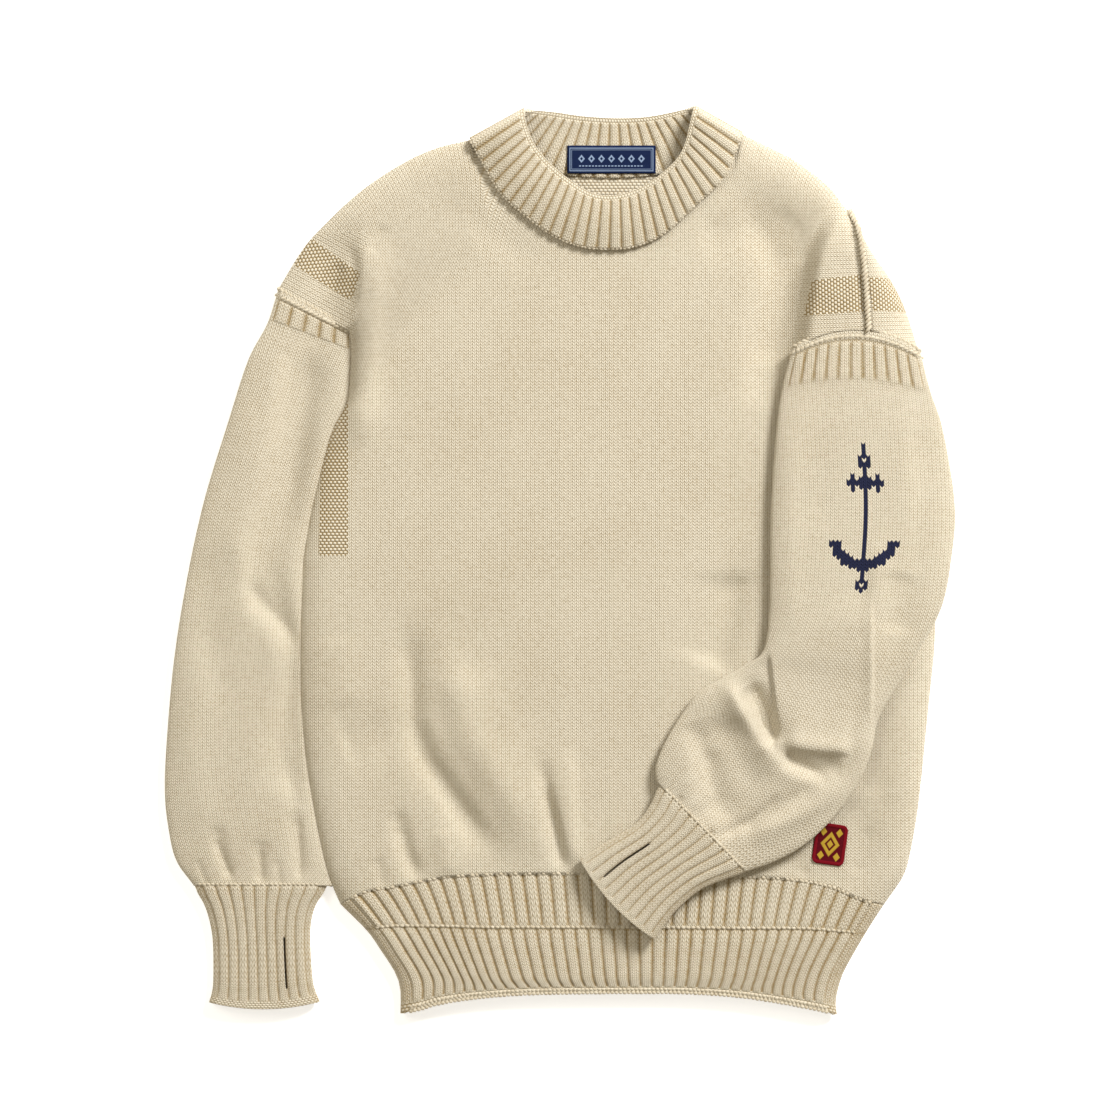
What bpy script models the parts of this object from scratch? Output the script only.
"""A guernsey fisherman's sweater, laid flat on its back with the left sleeve folded over the front.

Every knitted piece is a wall: an outer surface worked out from outline curves and a few heights,
and a plain inner surface one wall's thickness behind it. Tables are in millimetres, the frame's
origin is under the middle of the garment, +X runs to the wearer's left, +Y to the neck, +Z up.
"""

from math import cos, exp, hypot, pi, sin, sqrt

import bmesh
import bpy
import numpy as np
from mathutils import Vector

MM = 0.001

# Cloth
WALL = 3.0            # knitted wool, plain fabric
BAND_WALL = 3.4       # ribbing without its ribs
RIB = 1.5             # how far a rib stands out of its wall
GAP = 0.3             # between pieces at a seam
SEAM_GAP = 1.0        # between curved seam edges, whose facets differ
HEAD_GAP = 1.8        # between the left sleeve's head and the ridge
EDGE_GAP = 1.4        # between the sleeve that lies beside the body and the body's side

# Heights above the table
SEAM_Z = 6.0          # side and shoulder seams
BODY_TOP = 16.0       # the front over most of the chest
CAP_RIGHT = 12.0      # the right sleeve's cap, lower than the chest beside it
CAP_LEFT = 30.0       # the left sleeve's cap, folded up onto the front
ARM_BASE = 16.8       # underside of the folded sleeve and its cuff
ARM_SEAM = 22.0       # its edges' turning height
CUFF_SEAM = 5.2       # a folded cuff's turning height above its underside
HEM_TOP = 13.0
HEM_SEAM_Z = 5.5      # the hem's side seams
BAND_FRONT = 17.5     # neckband, middle of its wall at the front
BAND_BACK = 2.1       # and at the back, where it rests on the table

# Outlines, millimetres (x, y)
SIDE_RIGHT = [(-175.6, -276.0), (-181.2, -263.2), (-187.6, -244.0), (-195.6, -208.0), (-203.6, -160.0),
              (-207.6, -112.0), (-208.0, -56.0), (-206.0, 0.8)]
ARMHOLE_RIGHT = [(-206.0, 0.8), (-200.4, 35.2), (-190.8, 76.0), (-182.8, 103.2), (-170.8, 127.2),
                 (-168.4, 148.0), (-167.6, 166.4), (-168.4, 183.2)]
RIDGE_RIGHT = [(-168.4, 183.2), (-226.0, 216.0)]
SHOULDER_RIGHT = [(-226.0, 216.0), (-211.6, 240.0), (-200.4, 256.0), (-185.2, 272.0), (-168.4, 288.0),
                  (-149.2, 303.2), (-122.0, 320.0), (-98.0, 330.4), (-71.6, 336.8)]
NECK_FRONT = [(-71.6, 336.8), (-62.8, 321.6), (-46.8, 294.4), (-26.8, 276.0), (-4.4, 260.0), (18.8, 251.2),
              (42.8, 249.6), (61.2, 252.0), (83.6, 262.4), (110.0, 286.4), (130.0, 305.6), (139.6, 325.6),
              (146.0, 341.6)]
NECK_BACK = [(-71.6, 336.8), (-40.0, 322.0), (-7.6, 310.4), (43.2, 306.4), (90.0, 311.2), (120.0, 325.0),
             (146.0, 341.6)]
SHOULDER_LEFT = [(146.0, 341.6), (172.4, 328.8), (189.2, 320.0), (207.6, 306.4), (219.6, 295.2), (229.2, 281.6)]
ROPE_SEAM = [(229.6, 281.6), (236.8, 265.6), (240.4, 244.8), (242.8, 221.6), (244.4, 199.2), (245.2, 182.4)]
CONTOUR_LEFT = [(234.8, 275.2), (239.6, 263.2), (250.0, 246.4), (265.2, 224.8), (277.2, 200.8), (288.4, 165.6)]
SIDE_LEFT = [(259.6, -276.8), (267.0, -266.4), (275.2, -254.0), (280.0, -240.0), (286.0, -208.0),
             (290.0, -176.0), (293.2, -144.0), (296.4, -112.0), (300.4, -72.0), (301.2, -40.0), (296.4, -8.0),
             (286.8, 12.0)]
ARMHOLE_FRONT_LEFT = [(286.8, 12.0), (268.4, 56.0), (242.0, 104.0), (212.4, 144.0), (186.0, 168.0)]
ARMHOLE_BACK_LEFT = [(286.8, 12.0), (284.0, 56.0), (285.2, 110.0), (288.4, 165.6)]
HEM_SEAM = [(-175.6, -276.0), (-155.6, -265.6), (-132.4, -261.6), (-112.4, -257.6), (-90.0, -253.6),
            (-61.2, -252.0), (-32.4, -251.2), (72.4, -251.2), (147.6, -253.6), (187.6, -256.0), (217.2, -261.6),
            (239.6, -271.2), (259.6, -276.8)]
HEM_RIGHT_END = [(-175.6, -276.0), (-154.0, -297.6), (-142.8, -313.6), (-131.6, -331.2), (-127.6, -344.8),
                 (-127.6, -363.4)]
HEM_LEFT_END = [(259.6, -276.8), (246.8, -296.8), (232.8, -320.8), (226.0, -334.8), (221.6, -352.0),
                (222.4, -364.2)]
HEM_EDGE = [(-127.6, -363.4), (-110.0, -359.4), (-95.6, -355.2), (-63.6, -350.4), (-15.6, -347.2),
            (80.4, -346.4), (112.4, -347.2), (144.4, -349.6), (176.4, -354.4), (208.4, -360.6), (222.4, -364.2)]
BAND_EDGE_FRONT = [(-27.6, 361.1), (-27.6, 351.2), (-22.0, 335.2), (-10.8, 320.0), (5.6, 305.6), (25.2, 293.6),
                   (43.2, 291.2), (61.2, 296.0), (75.6, 304.0), (92.4, 318.4), (100.4, 332.0), (104.4, 348.0),
                   (107.6, 363.1)]
BAND_EDGE_BACK = [(-27.6, 361.1), (-4.4, 359.2), (18.8, 356.0), (44.8, 354.4), (67.6, 355.2), (87.2, 358.4),
                  (107.6, 363.1)]

# The ridge where the left sleeve joins the shoulder: a straight line, bowed towards the neck
RIDGE_LEFT_ENDS = ((186.0, 168.0), (288.4, 165.6))
RIDGE_LEFT_BOW = 16.4
RIDGE_TIP = 0.578     # where the rope seam meets it

# Shares of the body's height at which its sides turn a corner
RIGHT_TURNS = (0.55, 0.82)             # underarm, foot of the ridge
LEFT_TURNS = (0.52, 0.80)              # underarm, the ridge
NECK_TURNS = (0.34, 0.80)              # shares of the shoulder line where the neck begins and ends

# How the panels' edges turn towards their seams, in shares of the columns and rows
SIDE_TURN = (0.10, 0.065)    # columns that turn down at a side, and the share of the width they take
SHOULDER_TURN = 0.045        # rows that turn down at a shoulder
HEM_TURN = (0.03, 0.025)     # the hem's columns at its two ends, and their width
STRIP = 0.12                 # how far a panel's strip over the left shoulder runs past its last column
STRIP_COLUMNS = 6
PANEL_BEND = (0.28, 0.38)    # how far from a side, and from the top or bottom, that edge still bends a panel

# Soft folds: name, path, half-width to the path's left, to its right, height
FRONT_FOLDS = [
    ("long belly trough",
     [(-119.6, -50.0), (-119.6, -128.8), (-106.8, -160.8), (-78.8, -200.0), (-53.2, -236.0)], 9.0, 13.0, -4.2),
    ("belly ridge", [(-78.8, -85.0), (-62.0, -140.0), (-14.8, -214.4)], 24.0, 18.0, 3.0),
    ("short trough", [(-14.8, -159.2), (-6.0, -204.0), (3.6, -246.0)], 6.0, 7.0, -3.4),
    ("short ridge", [(7.0, -150.0), (7.6, -190.0), (12.0, -246.0)], 6.0, 12.0, 2.4),
    ("side trough", [(-130.8, -200.0), (-122.0, -236.0), (-113.2, -254.0)], 7.0, 7.0, -3.0),
    ("hem ridge right", [(-95.0, -215.0), (-88.0, -252.0)], 9.0, 9.0, 2.0),
    ("shoulder hollow", [(110.0, 262.0), (150.0, 262.0), (186.0, 250.0)], 14.0, 20.0, -2.6),
    ("hollow beside the arm", [(186.0, 250.0), (176.0, 200.0), (168.0, 150.0)], 10.0, 16.0, -2.8),
    ("chest crest", [(-146.0, 246.0), (-152.0, 184.0), (-155.0, 128.0), (-158.0, 84.0)], 9.0, 20.0, 2.0),
]
RIGHT_SLEEVE_FOLDS = [
    ("cap trough", [(-196.0, 166.0), (-205.0, 110.0), (-214.0, 60.0), (-222.0, 10.0)], 16.0, 14.0, -2.8),
    ("elbow ridge", [(-262.0, 20.0), (-232.0, -48.0), (-222.0, -110.0)], 12.0, 10.0, 2.2),
    ("forearm trough", [(-228.0, -20.0), (-213.0, -74.0), (-214.0, -130.0), (-209.0, -200.0)], 9.0, 9.0, -3.0),
    ("outer roll", [(-290.0, -60.0), (-296.0, -150.0), (-284.0, -225.0)], 14.0, 18.0, 1.6),
    ("cuff gather", [(-276.0, -212.0), (-264.0, -256.0)], 6.0, 6.0, -2.2),
    ("cuff gather two", [(-240.0, -224.0), (-239.0, -258.0)], 6.0, 6.0, -2.0),
    ("cuff gather three", [(-214.0, -200.0), (-205.0, -256.0)], 7.0, 7.0, -2.4),
]
LEFT_SLEEVE_FOLDS = [
    ("outer crease", [(254.0, 20.0), (252.0, -60.0), (250.0, -110.0), (249.0, -146.0)], 12.0, 7.0, 2.4),
    ("outer slope", [(275.0, -10.0), (268.0, -60.0)], 14.0, 14.0, -2.5),
    ("elbow hollow", [(150.0, -100.0), (163.0, -124.0), (172.0, -148.0)], 9.0, 9.0, -6.0),
    ("elbow fold", [(178.0, -158.0), (200.0, -166.0), (226.0, -166.0)], 9.0, 7.0, -4.2),
    ("forearm crest", [(132.0, -98.0), (150.0, -130.0), (170.0, -158.0), (200.0, -176.0)], 7.0, 12.0, 2.4),
    ("forearm trough", [(120.0, -150.0), (126.0, -190.0), (104.0, -214.0)], 9.0, 8.0, -2.4),
    ("lower roll", [(228.0, -172.0), (196.0, -204.0), (152.0, -226.0)], 8.0, 12.0, 2.0),
    ("lower trough", [(206.0, -178.0), (176.0, -200.0), (142.0, -216.0)], 7.0, 6.0, -2.6),
]
# The chest rolls over the right cap, and the left cap stands over the chest
CHEST_ROLL = [(-152.0, 262.0), (-159.6, 229.6), (-164.0, 184.0), (-168.0, 150.0)]
CHEST_ROLL_WIDTH = 12.0
CAP_FOOT = [(222.0, 291.0), (205.6, 266.4), (197.0, 244.0), (194.0, 228.0), (192.0, 212.0), (189.0, 192.0),
            (186.0, 168.0)]
CAP_FOOT_WIDTH = 20.0
CAP_CREST = (300.0, 62.0)  # the y where the left cap has sunk back to the shoulder, and the length it takes

# Sleeves, from the ridge to the cuff seam
# right sleeve: outer contour x, y, where the section meets the body's side (y), top height
RIGHT_SLEEVE = [
    (-226.0, 216.0, 183.2, 12.0),
    (-234.0, 190.0, 166.0, 12.5),
    (-249.6, 160.0, 146.0, 13.5),
    (-265.2, 112.0, 100.0, 14.0),
    (-284.8, 48.0, 44.0, 14.0),
    (-298.8, -16.0, -20.0, 14.5),
    (-309.0, -80.0, -80.0, 14.5),
    (-314.8, -144.0, -140.0, 14.5),
    (-316.4, -184.0, -184.0, 14.0),
    (-314.0, -212.0, -216.0, 13.5),
    (-307.6, -240.0, -242.0, 13.0),
    (-293.2, -261.0, -261.0, 12.8),
]
# left sleeve: inner edge x, y, outer edge x, y, top height, drop of the outer edge
LEFT_SLEEVE = [
    (186.0, 168.0, 288.4, 165.6, 29.0, 0.0),
    (178.0, 138.0, 297.0, 134.0, 29.5, 1.0),
    (173.2, 104.0, 306.8, 104.0, 31.0, 4.0),
    (169.2, 48.0, 316.4, 44.0, 31.0, 5.0),
    (168.4, 0.0, 313.2, 0.0, 31.0, 1.5),
    (167.6, -40.0, 305.2, -38.4, 31.0, 0.0),
    (163.0, -72.0, 286.0, -75.0, 31.0, 0.0),
    (148.0, -84.0, 268.0, -104.0, 30.0, 0.0),
    (130.0, -94.0, 254.6, -128.0, 30.5, 0.0),
    (111.0, -106.0, 249.0, -154.0, 31.0, 0.0),
    (97.0, -124.0, 238.0, -180.0, 31.0, 0.0),
    (84.0, -146.0, 220.0, -205.0, 30.5, 0.0),
    (77.0, -164.0, 196.0, -227.6, 29.8, 0.0),
    (77.0, -175.0, 172.0, -241.0, 29.0, 0.0),
    (79.4, -179.4, 148.4, -249.4, 28.8, 0.0),
]
# cuffs: the two edges' x, y, top height
RIGHT_CUFF = [
    (-293.2, -262.8, -185.4, -262.8, 12.6),
    (-285.0, -276.0, -194.5, -275.0, 12.0),
    (-280.0, -292.0, -199.0, -290.0, 11.6),
    (-277.8, -309.0, -199.6, -308.0, 11.4),
    (-277.6, -336.0, -198.0, -334.0, 11.4),
    (-278.6, -346.0, -196.0, -344.0, 11.6),
    (-281.0, -354.5, -192.0, -354.0, 12.4),
]
LEFT_CUFF = [
    (78.2, -181.0, 147.2, -251.0, 28.4),
    (73.2, -194.4, 134.0, -254.8, 28.2),
    (60.0, -211.5, 112.4, -264.0, 28.0),
    (36.0, -226.5, 93.0, -280.4, 27.8),
    (22.0, -235.5, 81.0, -296.0, 27.8),
    (16.0, -239.2, 76.4, -303.6, 28.4),
]
CUFF_BOW = 5.5        # how far a cuff's end bulges past a straight line
CUFF_RIBS = 9
CUFF_WIDTH = 82.0     # near its middle
THUMB_SLIT = 1.6      # width of the slit in each cuff
HEM_RIBS = 38
BAND_RIBS_FRONT = 30
BAND_RIBS_BACK = 20
TIER = 0.27           # share of the hem's depth taken by the upper tier
BORDER = 0.93         # where the garter edge begins
HEM_ROWS = [0.0, TIER - 0.03, TIER + 0.02, 0.6, BORDER - 0.03, BORDER + 0.02, 1.0]
GARTER = 0.8          # how far a garter edge stands out of the wall
FRONT_SHARE = 0.62    # the share of the neckband's columns that lies at the front
BAND_FOLD = 9.8       # radius of the folds at the band's two tips
BAND_SWELL = (3.0, 1.0)  # how far the front of the band arches up, and how far its free edge lifts

# A sleeve's section
BOTTOM_RADIUS = 7.0   # where its underside turns up to the edge
DOME = 3.0            # how square-shouldered its top is
CUFF_WALL = 2.8
CUFF_RIB = 1.2

# the head of a sleeve: a raised welt along the ridge, then short ladder ribs
WELT = 1.0            # how far the welt stands out
LADDER = 0.9          # and the ladder ribs
LADDER_EDGE = 0.04    # the share of the width, at each edge, that stays plain
# number of ribs, then shares of the sleeve's length: the welt's crown and foot, the ribs' start, end and fade
RIGHT_HEAD = (5, 0.010, 0.024, 0.030, 0.064, 0.074)
LEFT_HEAD = (11, 0.008, 0.019, 0.024, 0.058, 0.068)

ROPE_SHIFT = 1.5      # the rope seam lies this far beyond the front's edge, and the back's as far beyond it

ROPE_RADIUS = 2.4
LABEL_SIZE = (71.0, 22.6)
LABEL_MIDDLE = (41.6, 321.0)
LABEL_THICK = 1.0
BADGE_SIZE = (26.0, 33.0)
BADGE_MIDDLE = (216.5, -227.5)
BADGE_TILT = -8.0     # degrees
BADGE_THICK = 1.0
BADGE_CORNER = 5.0
BADGE_HOLLOW = 1.8    # the cloth dips under the patch, so the sleeve's edge clears it
BADGE_DIP_RADIUS = 50.0

WOOL = (0.80, 0.72, 0.55)
NAVY = (0.03, 0.05, 0.13)
CRIMSON = (0.45, 0.03, 0.05)


# ---------------------------------------------------------------- curves

class Curve:
    """A smooth curve through plan points, read by its share of length."""

    def __init__(self, points):
        pts = np.array(points, float)
        ahead = np.vstack([2 * pts[0] - pts[1], pts, 2 * pts[-1] - pts[-2]])
        fine = []
        for k in range(len(pts) - 1):
            fine += [spline(ahead, k, step / 12) for step in range(12)]
        fine.append(pts[-1])
        self.points = np.array(fine)
        steps = np.hypot(*np.diff(self.points, axis=0).T)
        self.length = steps.sum()
        self.share = np.concatenate([[0], np.cumsum(steps)]) / self.length

    def at(self, f):
        return np.array([np.interp(f, self.share, self.points[:, k]) for k in (0, 1)])

    def x_at_y(self, y):
        order = np.argsort(self.points[:, 1])
        return float(np.interp(y, self.points[order, 1], self.points[order, 0]))


class Side:
    """One side of a panel: curves laid end to end, each with its own share of the side."""

    def __init__(self, *curves, turns=None):
        self.curves = curves
        if turns is None:
            lengths = np.cumsum([c.length for c in curves])
            turns = lengths[:-1] / lengths[-1]
        self.turns = [0.0, *turns, 1.0]

    def at(self, f):
        k = max(i for i in range(len(self.curves)) if f >= self.turns[i])
        low, high = self.turns[k], self.turns[k + 1]
        return self.curves[k].at((f - low) / (high - low))


def panel(left, right, bottom, top):
    """The plan position at (s, t) of a four-cornered sheet, bent near each side to that side's own curve."""
    near_side, near_end = PANEL_BEND
    corners = bottom.at(0), bottom.at(1), top.at(0), top.at(1)

    def place(s, t):
        low = (1 - s) * corners[0] + s * corners[1]
        high = (1 - s) * corners[2] + s * corners[3]
        first = (1 - t) * corners[0] + t * corners[2]
        last = (1 - t) * corners[1] + t * corners[3]
        plan = (1 - t) * low + t * high
        plan = plan + smooth(1 - t / near_end) * (bottom.at(s) - low)
        plan = plan + smooth(1 - (1 - t) / near_end) * (top.at(s) - high)
        plan = plan + smooth((1 - s / near_side) * 1.2) * (left.at(t) - first)
        return plan + smooth((1 - (1 - s) / near_side) * 1.2) * (right.at(t) - last)

    return place


def distance(x, y, path):
    """Distance to a path, its side (+1 to the left of its direction) and the share along it."""
    best, side, along = 1e9, 1, 0.0
    lengths = [hypot(b[0] - a[0], b[1] - a[1]) for a, b in zip(path, path[1:])]
    done = 0.0
    for (a, b), length in zip(zip(path, path[1:]), lengths):
        ux, uy = (b[0] - a[0]) / length, (b[1] - a[1]) / length
        run = (x - a[0]) * ux + (y - a[1]) * uy
        held = min(max(run, 0.0), length)
        d = hypot(x - a[0] - held * ux, y - a[1] - held * uy)
        if d < best:
            best = d
            side = 1 if ux * (y - a[1]) - uy * (x - a[0]) > 0 else -1
            along = (done + held) / sum(lengths)
        done += length
    return best, side, along


def smooth(f):
    f = min(max(f, 0.0), 1.0)
    return f * f * (3 - 2 * f)


def folds(x, y, table):
    """Height added by soft ridges and troughs that fade out at their ends."""
    total = 0.0
    for _, path, left, right, height in table:
        d, side, along = distance(x, y, path)
        width = left if side > 0 else right
        ends = smooth(along / 0.25 + 0.25) * smooth((1 - along) / 0.25 + 0.25)
        total += height * ends * exp(-((d / width) ** 2))
    return total


def rounding(d, radius):
    """Quarter-round share of a height, 0 at an edge and 1 from one radius in."""
    return sqrt(1 - (1 - min(max(d / radius, 0.0), 1.0)) ** 2)


def spline(ahead, k, f):
    """A Catmull-Rom curve's point, a share f past its point k, from rows that hold one more at each end."""
    a, b, c, d = ahead[k:k + 4]
    return 0.5 * (2 * b + (c - a) * f + (2 * a - 5 * b + 4 * c - d) * f ** 2 + (3 * (b - c) - a + d) * f ** 3)


# ---------------------------------------------------------------- walls

def normal_of(surface, s, t, low=(0.0, 0.0), high=(1.0, 1.0)):
    """The surface's normal, from small steps that stay on it."""
    step = 1e-3
    for nudge in (0.0, 0.02, 0.05):
        sa, sb = max(s - step - nudge, low[0]), min(s + step + nudge, high[0])
        ta, tb = max(t - step - nudge, low[1]), min(t + step + nudge, high[1])
        across = surface(sb, t) - surface(sa, t)
        along = surface(s, tb) - surface(s, ta)
        cross = np.cross(across, along)
        size = np.linalg.norm(cross)
        if size > 1e-2 * np.linalg.norm(across) * np.linalg.norm(along) and size > 0:
            return cross / size
    return np.array([0.0, 0.0, 1.0])


def wall(name, surface, s_values, t_values, facing=1, thick=WALL, relief=None, relief_inside=None,
         ring=False, keep=None):
    """A closed solid between a surface and its inner copy, one thickness behind it.

    facing is +1 where s to the right and t up gives the outward side, relief lifts outer points and
    relief_inside the inner ones, a ring joins its last column to its first, and keep(column, row) says
    which cells there are.
    """
    columns, rows = len(s_values), len(t_values)
    mesh = bmesh.new()
    outer, inner = {}, {}

    def vertex(i, j):
        i = i % columns if ring else i
        if (i, j) not in outer:
            s, t = s_values[i], t_values[j]
            point = surface(s, t)
            reach = s_values[-1] if keep and keep(columns - 2, j) else 1.0
            normal = facing * normal_of(surface, s, t, high=(max(reach, 1.0), 1.0))
            lift = relief(s, t) if relief else 0.0
            sink = relief_inside(s, t) if relief_inside else 0.0
            outer[i, j] = mesh.verts.new(Vector(point + normal * lift) * MM)
            inner[i, j] = mesh.verts.new(Vector(point - normal * (thick + sink)) * MM)
        return outer[i, j], inner[i, j]

    cells = [(i, j) for i in range(columns if ring else columns - 1) for j in range(rows - 1)]
    if keep:
        cells = [(i, j) for i, j in cells if keep(i, j)]
    sides = set()
    for i, j in cells:
        corners = [(i, j), (i + 1, j), (i + 1, j + 1), (i, j + 1)]
        if ring:
            corners = [(a % columns, b) for a, b in corners]
        pairs = [vertex(*c) for c in corners]
        mesh.faces.new([p[0] for p in pairs])
        mesh.faces.new([p[1] for p in reversed(pairs)])
        for a, b in zip(corners, corners[1:] + corners[:1]):
            sides.add((a, b))
    for a, b in sorted(sides):
        if (b, a) not in sides:
            mesh.faces.new([outer[b], outer[a], inner[a], inner[b]])
    if facing < 0:
        bmesh.ops.reverse_faces(mesh, faces=mesh.faces)
    finish(name, mesh, WOOL)


def finish(name, mesh, colour):
    """Writes a bmesh to a named object with its own material."""
    data = bpy.data.meshes.new(name)
    mesh.to_mesh(data)
    mesh.free()
    data.shade_smooth()
    made = bpy.data.objects.new(name, data)
    bpy.data.collections["guernsey_sweater"].objects.link(made)
    material = bpy.data.materials.new(name)
    material.use_nodes = True
    shader = material.node_tree.nodes["Principled BSDF"]
    shader.inputs["Base Color"].default_value = (*colour, 1)
    shader.inputs["Roughness"].default_value = 0.9
    data.materials.append(material)
    return made


# ---------------------------------------------------------------- body

def ridge_left(u):
    """The left sleeve's ridge, from the chest to the outer contour."""
    a, b = np.array(RIDGE_LEFT_ENDS[0]), np.array(RIDGE_LEFT_ENDS[1])
    return a + (b - a) * u + np.array([0.0, RIDGE_LEFT_BOW * 4 * u * (1 - u)])


side_right = Curve(SIDE_RIGHT)
armhole_right = Curve(ARMHOLE_RIGHT)
rope = Curve(ROPE_SEAM)
hem_seam = Side(Curve(HEM_SEAM))
body_right = Side(side_right, armhole_right, Curve(RIDGE_RIGHT), turns=RIGHT_TURNS)
front_left = Side(Curve(SIDE_LEFT), Curve(ARMHOLE_FRONT_LEFT), Curve(CAP_FOOT[::-1]), turns=LEFT_TURNS)
back_left = Side(Curve(SIDE_LEFT), Curve(ARMHOLE_BACK_LEFT), Curve(CONTOUR_LEFT[::-1]), turns=LEFT_TURNS)
front_top = Side(Curve(SHOULDER_RIGHT), Curve(NECK_FRONT), Curve(SHOULDER_LEFT[:-1] + [CAP_FOOT[0]]),
                 turns=NECK_TURNS)
back_top = Side(Curve(SHOULDER_RIGHT), Curve(NECK_BACK), Curve(SHOULDER_LEFT + [CONTOUR_LEFT[0]]),
                turns=NECK_TURNS)
front_plan = panel(body_right, front_left, hem_seam, front_top)
back_plan = panel(body_right, back_left, hem_seam, back_top)


def squeeze(f, turn, width):
    """Maps a share so that its ends run round a quarter turn, with the round's own share of height."""
    if f < turn:
        return width * (1 - cos(pi / 2 * f / turn)), sin(pi / 2 * f / turn)
    if f > 1 - turn:
        u, rise = squeeze(1 - f, turn, width)
        return 1 - u, rise
    return width + (f - turn) * (1 - 2 * width) / (1 - 2 * turn), 1.0


def shoulder_squeeze(t):
    """The same at the top only: rows keep their share up to the shoulder's rounding."""
    if t < 1 - SHOULDER_TURN:
        return t, 1.0
    turn = pi / 2 * (1 - t) / SHOULDER_TURN
    return 1 - SHOULDER_TURN * (1 - cos(turn)), sin(turn)


def cap_height(x, y):
    """The left cap's share of its full height: it rises from its foot and dies out at the shoulder."""
    d, side, _ = distance(x, y, CAP_FOOT + ARMHOLE_FRONT_LEFT[-2::-1])
    rise = smooth(side * d / CAP_FOOT_WIDTH)
    return rise * smooth((CAP_CREST[0] - y) / CAP_CREST[1] + 0.1)


def front_height(x, y):
    """The front's outer face above the table, before its edges turn down."""
    z = BODY_TOP + folds(x, y, FRONT_FOLDS)
    if x < -100 and y > 140:
        d, side, _ = distance(x, y, CHEST_ROLL)
        z += (CAP_RIGHT - BODY_TOP) * smooth((-side * d + 2.0) / CHEST_ROLL_WIDTH)
    z += (CAP_LEFT - BODY_TOP) * cap_height(x, y)
    d = hypot(x - BADGE_MIDDLE[0], y - BADGE_MIDDLE[1])
    z -= BADGE_HOLLOW * smooth((BADGE_DIP_RADIUS - d) / 22.0)
    return z


def shoulder_closed(s):
    """1 where the top edge is a shoulder, 0 along the neck, softly between."""
    start, end = NECK_TURNS
    if s <= start or s >= end:
        return 1.0
    return 1 - smooth(min(s - start, end - s) / 0.05)


def over_shoulder(v):
    """The share of the left shoulder's length, from the ridge up, that a row lies at."""
    return min(max((v - LEFT_TURNS[1]) / (1 - LEFT_TURNS[1]), 0.0), 1.0)


def front_strip(f, v):
    """The left cap's part of the front, from its foot on the chest (f = 0) to the rope seam (f = 1)."""
    tau = over_shoulder(v)
    foot, seam = front_left.at(v), rope.at(1 - tau)
    start, tip = ridge_left(0), ridge_left(RIDGE_TIP)
    bow = ridge_left(RIDGE_TIP * f) - (start + (tip - start) * f)
    return foot + (seam - foot) * f + bow * (1 - tau) ** 2


def front_surface(s, t):
    """The front's outer face; past s = 1 it runs over the left cap to the rope seam."""
    u, rise_s = squeeze(min(s, 1.0), *SIDE_TURN)
    v, rise_t = shoulder_squeeze(t)
    x, y = front_plan(u, v) if s <= 1 else front_strip((s - 1) / STRIP, v)
    z = front_height(x, y)
    if s < 0.5:
        closed = 1 - smooth((v - RIGHT_TURNS[1] + 0.02) / 0.04)
    else:
        closed = 1 - smooth((v - LEFT_TURNS[0]) / 0.04)
    low = SEAM_Z + GAP
    z = low + (z - low) * (1 - closed * (1 - rise_s))
    z = low + (z - low) * (1 - shoulder_closed(u) * (1 - rise_t))
    return np.array([x, y, z])


def back_surface(s, t):
    """The back on the table; past s = 1 it wraps over the left shoulder's contour to the rope seam."""
    v, rise_t = shoulder_squeeze(t)
    if s > 1:
        return back_strip((s - 1) / STRIP, v)
    u, rise_s = squeeze(s, *SIDE_TURN)
    x, y = back_plan(u, v)
    high = SEAM_Z - GAP
    z = 0.0
    closed = 1 - smooth((v - RIGHT_TURNS[1] + 0.02) / 0.04) if s < 0.5 else 1.0
    z += high * closed * (1 - rise_s)
    z += (high - z) * shoulder_closed(u) * (1 - rise_t)
    return np.array([x, y, z])


def back_strip(f, v):
    """The part of the back that shows beyond the rope seam, from the contour (f = 0) to the seam (f = 1)."""
    tau = over_shoulder(v)
    contour = back_left.at(v)
    seam = rope.at(1 - tau) + np.array([2 * ROPE_SHIFT, 0.0])
    share = 1 - cos(pi / 2 * f)
    plan = contour + (seam - contour) * share
    end, tip = ridge_left(1), ridge_left(RIDGE_TIP)
    bow = ridge_left(1 - (1 - RIDGE_TIP) * share) - (end + (tip - end) * share)
    plan = plan + bow * (1 - tau) ** 2
    low = SEAM_Z - GAP
    top = front_surface(1 + STRIP, v)[2]
    return np.array([*plan, low + (top - low) * sin(pi / 2 * f)])


def spread(edges, middles, turn):
    """Sample shares: a few round each end, the rest even between."""
    ends = [turn * k / edges for k in range(edges)]
    inner = [turn + (1 - 2 * turn) * k / middles for k in range(middles + 1)]
    return ends + inner + [1 - e for e in reversed(ends)]


def rows_between(stops, counts):
    """Rows through every stop, with a number of even steps in each stretch."""
    rows = []
    for low, high, count in zip(stops, stops[1:], counts):
        rows += [low + (high - low) * k / count for k in range(count)]
    return rows + [stops[-1]]


def make_body_panel(name, surface, middles, row_counts, facing):
    """A panel whose columns past its left side run only over the shoulder, above the ridge."""
    columns = spread(3, middles, SIDE_TURN[0])
    rows = rows_between([0.0, *LEFT_TURNS, 1 - SHOULDER_TURN, 1.0], row_counts)
    side, ridge = len(columns) - 1, rows.index(LEFT_TURNS[1])
    columns += [1 + STRIP * k / STRIP_COLUMNS for k in range(1, STRIP_COLUMNS + 1)]
    wall(name, surface, columns, rows, facing=facing, keep=lambda i, j: i < side or j >= ridge)


# ---------------------------------------------------------------- ribs

def rib_columns(ribs):
    """Two columns a rib: its groove and its crown."""
    return [k / 2 / ribs for k in range(2 * ribs)]


def rib_height(share, ribs):
    """1 on a rib's crown, 0 in the groove beside it."""
    phase = (share * ribs) % 1.0
    return smooth(2 * min(phase, 1 - phase))


# ---------------------------------------------------------------- hem

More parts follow.
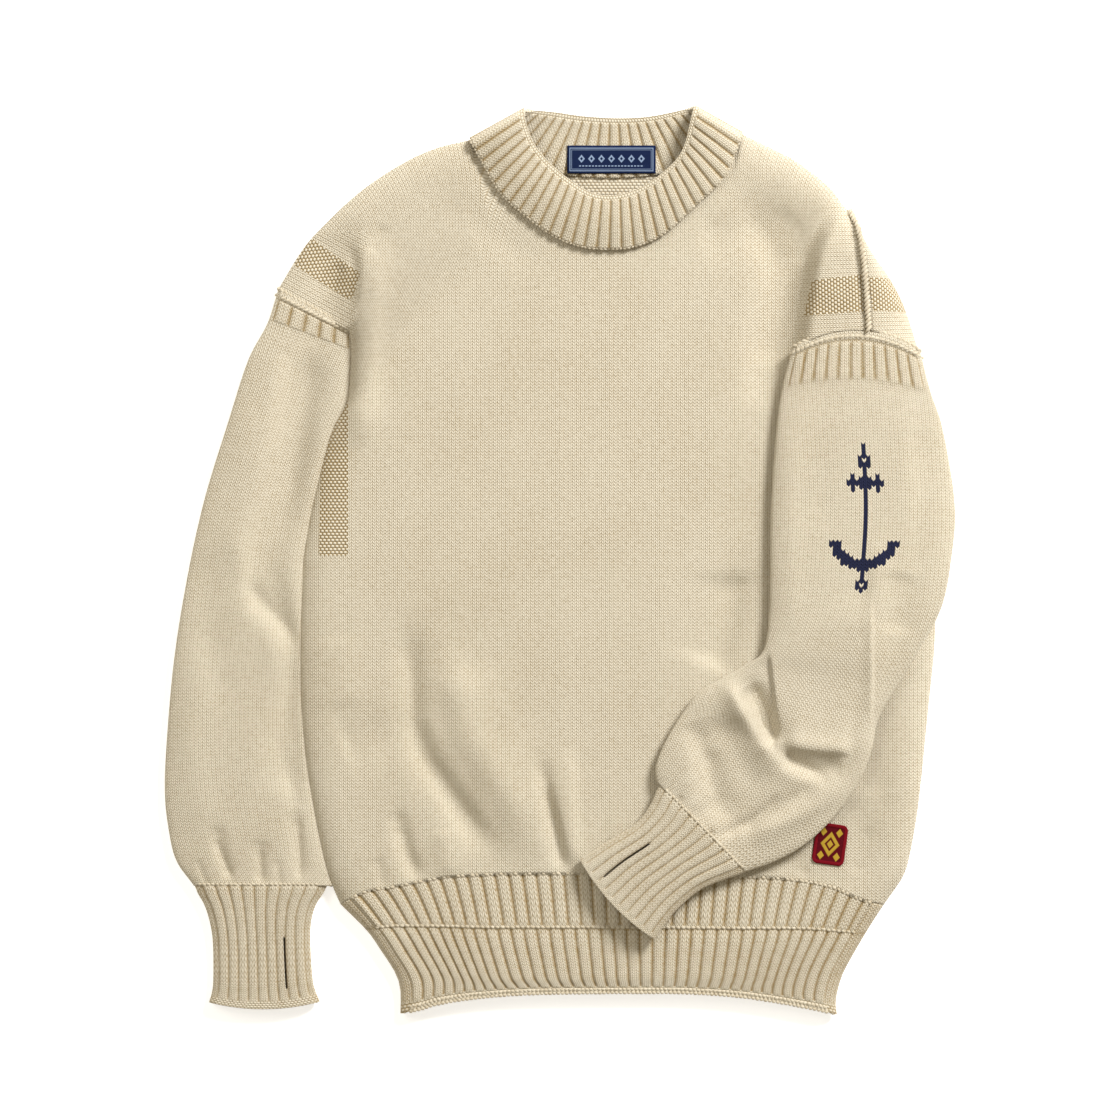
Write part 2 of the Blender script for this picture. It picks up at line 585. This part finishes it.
hem_plan = panel(Side(Curve(HEM_RIGHT_END)), Side(Curve(HEM_LEFT_END)), hem_seam, Side(Curve(HEM_EDGE)))


def hem_point(s, t, side):
    """side +1 is the front hem, -1 the back; s runs to the wearer's left, t down from the seam."""
    u, rise = squeeze(s, *HEM_TURN)
    plan = hem_plan(u, t) + np.array([SEAM_GAP * (1 - 2 * u), -SEAM_GAP]) * (1 - t)
    if side > 0:
        low = HEM_SEAM_Z + GAP / 2
        top = HEM_TOP + 1.0 * (1 - smooth(t / 0.3)) - 1.2 * smooth(t)
        return np.array([*plan, low + (top - low) * rise])
    return np.array([*plan, (HEM_SEAM_Z - GAP / 2) * (1 - rise)])


def hem_columns(middles):
    turn = HEM_TURN[0]
    ends = [turn * k / 3 for k in range(3)]
    return ends + [turn + (1 - 2 * turn) * f for f in middles + [1.0]] + [1 - e for e in reversed(ends)]


def hem_relief(s, t):
    """The ribs of the two tiers lie half a rib apart, over a plain garter edge."""
    share = (s - HEM_TURN[0]) / (1 - 2 * HEM_TURN[0])
    if not 0 < share < 1:
        return 0.0
    if t > BORDER:
        return GARTER
    stagger = 0.5 / HEM_RIBS if t < TIER else 0.0
    return RIB * rib_height(share + stagger, HEM_RIBS)


def make_hems():
    wall("hem_front", lambda s, t: hem_point(s, t, 1), hem_columns(rib_columns(HEM_RIBS)), HEM_ROWS, facing=-1,
         relief=hem_relief)
    wall("hem_back", lambda s, t: hem_point(s, t, -1), hem_columns([k / 12 for k in range(12)]),
         [0.0, 0.25, 0.5, 0.75, 1.0], facing=1)


# ---------------------------------------------------------------- neckband

band_seam = [Curve(NECK_FRONT), Curve(NECK_BACK)]
band_free = [Curve(BAND_EDGE_FRONT), Curve(BAND_EDGE_BACK)]


def band_split(s):
    """Which half a share of the ring lies on, and how far along it from the right tip."""
    if s < FRONT_SHARE:
        return 0, s / FRONT_SHARE
    return 1, 1 - (s - FRONT_SHARE) / (1 - FRONT_SHARE)


def band_surface(s, t):
    """Middle of the neckband's wall; t runs from the neck seam to the free edge."""
    half, f = band_split(s % 1.0)
    middle = (BAND_FRONT + BAND_BACK) / 2
    seam, free = band_seam[half].at(f), band_free[half].at(f)
    plan = seam + (free - seam) * (0.03 + 0.97 * t)
    length = band_seam[half].length * (1 - t) + band_free[half].length * t
    rise = rounding(min(f, 1 - f) * length, BAND_FOLD)
    side = BAND_FRONT + BAND_SWELL[0] * sin(pi * t) + BAND_SWELL[1] * t if half == 0 else BAND_BACK
    return np.array([*plan, middle + (side - middle) * rise])


def band_ribs(s, t, half_wanted):
    half, f = band_split(s % 1.0)
    if half != half_wanted:
        return 0.0
    ribs = BAND_RIBS_FRONT if half == 0 else BAND_RIBS_BACK
    ends = smooth(min(f, 1 - f) / 0.03)
    if t > 0.9:
        return GARTER * ends
    return RIB * rib_height(f, ribs) * ends


def make_neckband():
    columns = [FRONT_SHARE * f for f in rib_columns(BAND_RIBS_FRONT)]
    back = [1 - f for f in rib_columns(BAND_RIBS_BACK) if f > 0]
    columns += [FRONT_SHARE] + sorted(FRONT_SHARE + (1 - FRONT_SHARE) * f for f in back)
    half_wall = BAND_WALL / 2
    # the ring's outer face is half a wall out of its middle surface
    wall("neckband", band_surface, columns, [0.0, 0.3, 0.6, 0.88, 1.0], facing=1, thick=half_wall, ring=True,
         relief=lambda s, t: half_wall + band_ribs(s, t, 0), relief_inside=lambda s, t: band_ribs(s, t, 1))


# ---------------------------------------------------------------- sleeves and cuffs

def table_curve(rows):
    """Reads a table's columns smoothly between its rows."""
    table = np.array(rows, float)
    ahead = np.vstack([2 * table[0] - table[1], table, 2 * table[-1] - table[-2]])

    def at(t):
        place = min(max(t, 0.0), 1.0) * (len(table) - 1)
        k = min(int(place), len(table) - 2)
        return spline(ahead, k, place - k)

    return at


def tube_point(a, b, s, base, seam, top, bow, drop=0.0, table=()):
    """A point of a flattened tube's section from edge a to edge b: over the top to s = 0.5, back underneath."""
    theta = 2 * pi * s
    u = (1 - cos(theta)) / 2
    width = np.linalg.norm(b - a)
    plan = a + (b - a) * u + bow * 4 * u * (1 - u)
    lowered = drop * smooth((u - 0.72) / 0.28)
    if s <= 0.5:
        dome = (1 - abs(2 * u - 1) ** DOME) ** (1 / DOME)
        z = seam - lowered + (top - seam) * dome
        z += folds(plan[0], plan[1], table) * smooth(dome * 1.3 - 0.3)
        return np.array([*plan, z])
    e = width * min(u, 1 - u)
    return np.array([*plan, seam - lowered - (seam - base) * rounding(e, BOTTOM_RADIUS)])


def body_side(y):
    """The body's right side at a height."""
    return (armhole_right if y > ARMHOLE_RIGHT[0][1] else side_right).x_at_y(y)


right_rows = table_curve([(x, y, body_side(edge), edge, top) for x, y, edge, top in RIGHT_SLEEVE])
left_rows = table_curve(LEFT_SLEEVE)


def right_sleeve_surface(s, t):
    x0, y0, x1, y1, top = right_rows(t)
    a, b = np.array([x0, y0]), np.array([x1 - EDGE_GAP, y1])
    axis = np.array([b[1] - a[1], a[0] - b[0]]) / np.linalg.norm(b - a)
    start = axis * SEAM_GAP * (1 - smooth(t / 0.05))
    return tube_point(a + start, b + start, s, 0.0, SEAM_Z, top, axis * 0.0, table=RIGHT_SLEEVE_FOLDS)


def left_sleeve_surface(s, t):
    x0, y0, x1, y1, top, drop = left_rows(t)
    a, b = np.array([x0, y0]), np.array([x1, y1])
    bow = np.array([0.0, RIDGE_LEFT_BOW]) * (1 - smooth(t / 0.16))
    start = np.array([0.0, -HEAD_GAP]) * (1 - smooth(t / 0.05))
    return tube_point(a + start, b + start, s, ARM_BASE, ARM_SEAM, top, bow, drop, LEFT_SLEEVE_FOLDS)


def sleeve_columns(ribs, under):
    """Columns through every ladder rib's crown and groove over the top, even ones underneath."""
    width = 1 - 2 * LADDER_EDGE
    shares = [0.0, 0.015] + [LADDER_EDGE + width * f for f in rib_columns(ribs) + [1.0]] + [0.985]
    over = [np.arccos(1 - 2 * f) / (2 * pi) for f in shares]
    return over + [0.5 + 0.5 * k / under for k in range(under)]


def head_relief(head):
    """The welt along the ridge and the ladder ribs below it."""
    ribs, crown, foot, start, end, fade = head

    def relief(s, t):
        u = (1 - cos(2 * pi * s)) / 2
        share = (u - LADDER_EDGE) / (1 - 2 * LADDER_EDGE)
        if s >= 0.5 or not 0 <= share <= 1 or t > fade:
            return 0.0
        if t < foot:
            return WELT * (t / crown if t < crown else (foot - t) / (foot - crown))
        window = smooth((t - foot) / (start - foot)) * smooth((fade - t) / (fade - end))
        return LADDER * rib_height(share, ribs) * window

    return relief


def make_sleeve(name, surface, head):
    rows = [0.0, *head[1:]] + [k / 20 for k in range(2, 21)]
    wall(name, surface, sleeve_columns(head[0], 9), rows, facing=-1, relief=head_relief(head), ring=True)


def make_sleeves():
    make_sleeve("sleeve_right", right_sleeve_surface, RIGHT_HEAD)
    make_sleeve("sleeve_left", left_sleeve_surface, LEFT_HEAD)


def cuff_surface(rows, base, seam):
    at = table_curve(rows)

    def surface(s, t):
        x0, y0, x1, y1, top = at(t)
        a, b = np.array([x0, y0]), np.array([x1, y1])
        axis = np.array([b[1] - a[1], a[0] - b[0]]) / np.linalg.norm(b - a)
        return tube_point(a, b, s, base, seam, top, axis * CUFF_BOW * smooth((t - 0.5) / 0.5))

    return surface


def make_cuff(name, rows, base, seam, slit_u, slit_t):
    """A ribbed cuff with a thumb slit through its upper layer."""
    shares = [0.06 + 0.88 * f for f in rib_columns(CUFF_RIBS)] + [0.94]
    half = THUMB_SLIT / 2 / CUFF_WIDTH
    shares = [f for f in shares if abs(f - slit_u) > 0.025] + [slit_u - half, slit_u + half]
    over = sorted(np.arccos(1 - 2 * f) / (2 * pi) for f in shares + [0.0, 0.02])
    columns = over + [0.5 + 0.5 * k / 8 for k in range(8)]
    lips = [i for i, s in enumerate(columns) if s < 0.5 and abs((1 - cos(2 * pi * s)) / 2 - slit_u) < 2 * half]
    lengths = [0.0, 0.15, slit_t[0], slit_t[1], 0.86, 0.92, 1.0]

    def relief(s, t):
        u = (1 - cos(2 * pi * s)) / 2
        if s > 0.5 or not 0.05 < u < 0.95:
            return 0.0
        if t > 0.9:
            return GARTER
        return CUFF_RIB * rib_height((u - 0.06) / 0.88, CUFF_RIBS)

    wall(name, cuff_surface(rows, base, seam), columns, lengths, facing=-1, thick=CUFF_WALL, relief=relief,
         ring=True, keep=lambda i, j: not (i == lips[0] and j == 2))


# ---------------------------------------------------------------- small pieces

def make_rope_seam():
    """The raised seam over the left shoulder, a cord laid over the joint."""
    path = bpy.data.curves.new("shoulder_seam_left", "CURVE")
    path.dimensions = "3D"
    path.bevel_depth = ROPE_RADIUS * MM
    path.bevel_resolution = 1
    path.use_fill_caps = True
    line = path.splines.new("POLY")
    shares = [0.04 + 0.93 * k / 14 for k in range(15)]
    line.points.add(len(shares) - 1)
    for point, f in zip(line.points, shares):
        x, y = rope.at(f)
        z = front_height(x - ROPE_SHIFT, y) + ROPE_RADIUS + SEAM_GAP / 2
        point.co = (*(Vector((x + ROPE_SHIFT, y, z)) * MM), 1)
    cord = bpy.data.objects.new("cord", path)
    bpy.data.collections["guernsey_sweater"].objects.link(cord)
    evaluated = cord.evaluated_get(bpy.context.evaluated_depsgraph_get())
    mesh = bmesh.new()
    mesh.from_mesh(bpy.data.meshes.new_from_object(evaluated))
    bmesh.ops.remove_doubles(mesh, verts=mesh.verts, dist=1e-6)
    bpy.data.objects.remove(cord)
    finish("shoulder_seam_left", mesh, WOOL)


def plate(name, size, corner, thick, middle, z, tilt, colour):
    """A flat sewn-on piece with rounded corners."""
    mesh = bmesh.new()
    half = (size[0] / 2 - corner, size[1] / 2 - corner)
    rim = []
    for quarter, (sx, sy) in enumerate([(1, 1), (-1, 1), (-1, -1), (1, -1)]):
        for k in range(5):
            angle = pi / 2 * (quarter + k / 4)
            rim.append((sx * half[0] + corner * cos(angle), sy * half[1] + corner * sin(angle)))
    face = mesh.faces.new([mesh.verts.new(Vector((x, y, 0)) * MM) for x, y in rim])
    raised = bmesh.ops.extrude_face_region(mesh, geom=[face])
    bmesh.ops.translate(mesh, vec=Vector((0, 0, thick * MM)),
                        verts=[v for v in raised["geom"] if isinstance(v, bmesh.types.BMVert)])
    bmesh.ops.recalc_face_normals(mesh, faces=mesh.faces)
    made = finish(name, mesh, colour)
    made.location = Vector((*middle, z)) * MM
    made.rotation_euler = (0, 0, tilt * pi / 180)


def make_small_pieces():
    make_rope_seam()
    label_z = BAND_BACK + BAND_WALL / 2 + RIB + GAP
    plate("neck_label", LABEL_SIZE, 0.8, LABEL_THICK, LABEL_MIDDLE, label_z, 0.0, NAVY)
    patch_z = max(front_height(BADGE_MIDDLE[0] + dx, BADGE_MIDDLE[1] + dy) for dx in (-13, 0, 13)
                  for dy in (-16, 0, 16)) + 2 * GAP
    plate("badge_patch", BADGE_SIZE, BADGE_CORNER, BADGE_THICK, BADGE_MIDDLE, patch_z, BADGE_TILT, CRIMSON)


def main():
    for old in list(bpy.data.objects):
        bpy.data.objects.remove(old)
    collection = bpy.data.collections.new("guernsey_sweater")
    bpy.context.scene.collection.children.link(collection)
    make_body_panel("front", front_surface, 24, (13, 6, 8, 3), 1)
    make_body_panel("back", back_surface, 14, (8, 6, 5, 3), -1)
    make_hems()
    make_neckband()
    make_sleeves()
    make_cuff("cuff_right", RIGHT_CUFF, 0.0, SEAM_Z, 0.735, (0.45, 0.76))
    make_cuff("cuff_left", LEFT_CUFF, ARM_BASE, ARM_BASE + CUFF_SEAM, 0.26, (0.42, 0.80))
    make_small_pieces()


main()
